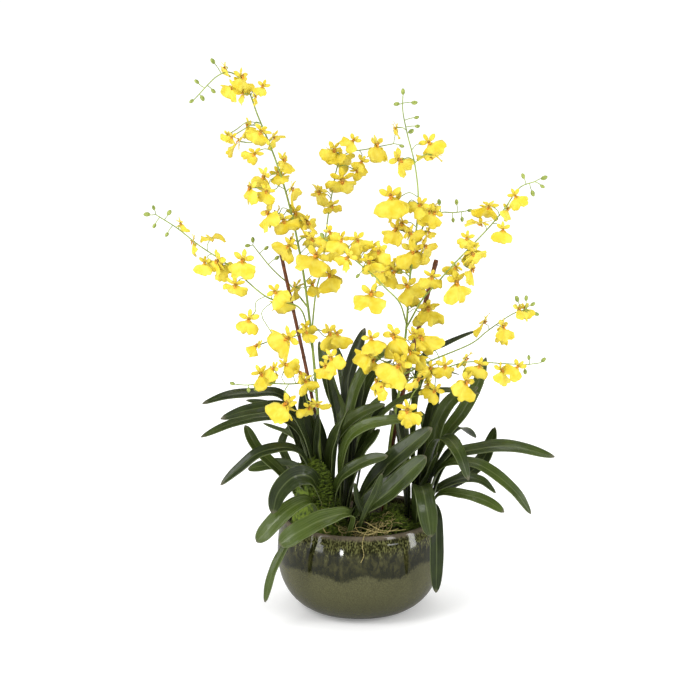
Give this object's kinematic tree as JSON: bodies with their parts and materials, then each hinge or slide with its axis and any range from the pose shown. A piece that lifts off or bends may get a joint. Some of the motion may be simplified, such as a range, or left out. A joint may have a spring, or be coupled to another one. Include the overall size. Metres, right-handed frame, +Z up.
{
  "type": "potted orchid",
  "caption": "Yellow oncidium orchid arrangement with branched flower spikes, strap leaves, moss and bamboo stakes in a round glazed ceramic bowl.",
  "frame": {"origin": "centre of the bowl's flat foot, on the surface it stands on", "axes": "+Z up; -Y towards the viewer of the arrangement's front; +X to that viewer's right"},
  "size_m": [0.5335, 0.3154, 0.7336],
  "materials": {
    "glaze": "glossy reactive green-brown glaze on stoneware",
    "potting_mix": "dark bark and fibre mix",
    "moss": "soft fibrous moss",
    "bamboo": "satin red-brown cane",
    "leaf": "waxy satin leaf",
    "blossom": "thin soft petals, yellow with orange-brown bars; green stems and buds"
  },
  "bodies": {
    "root": {"bowl": "glaze", "flower_branch_left_buds": "blossom", "flower_branch_left_inner": "blossom", "flower_branch_left_low": "blossom", "flower_branch_left_lowest": "blossom", "flower_branch_right_buds": "blossom", "flower_branch_right_crossing": "blossom", "flower_branch_right_high": "blossom", "flower_branch_right_low": "blossom", "flower_branch_right_lowest": "blossom", "flower_spike_left": "blossom", "flower_spike_right": "blossom", "growing_medium": "potting_mix", "leaf_back_01": "leaf", "leaf_back_02": "leaf", "leaf_back_03": "leaf", "leaf_left_01": "leaf", "leaf_left_02": "leaf", "leaf_left_03": "leaf", "leaf_left_04": "leaf", "leaf_left_05": "leaf", "leaf_left_06": "leaf", "leaf_left_07": "leaf", "leaf_left_08": "leaf", "leaf_left_09": "leaf", "leaf_left_10": "leaf", "leaf_left_11": "leaf", "leaf_left_12": "leaf", "leaf_left_13": "leaf", "leaf_left_14": "leaf", "leaf_left_15": "leaf", "leaf_left_16": "leaf", "leaf_left_17": "leaf", "leaf_left_18": "leaf", "leaf_left_19": "leaf", "leaf_left_20": "leaf", "leaf_left_21": "leaf", "leaf_left_22": "leaf", "leaf_left_23": "leaf", "leaf_left_24": "leaf", "leaf_left_25": "leaf", "leaf_left_26": "leaf", "leaf_left_27": "leaf", "leaf_right_01": "leaf", "leaf_right_02": "leaf", "leaf_right_03": "leaf", "leaf_right_04": "leaf", "leaf_right_05": "leaf", "leaf_right_06": "leaf", "leaf_right_07": "leaf", "leaf_right_08": "leaf", "leaf_right_09": "leaf", "leaf_right_10": "leaf", "leaf_right_11": "leaf", "leaf_right_12": "leaf", "leaf_right_13": "leaf", "moss_front": "moss", "moss_left": "moss", "stake_left": "bamboo", "stake_right": "bamboo"}
  },
  "joints": []
}
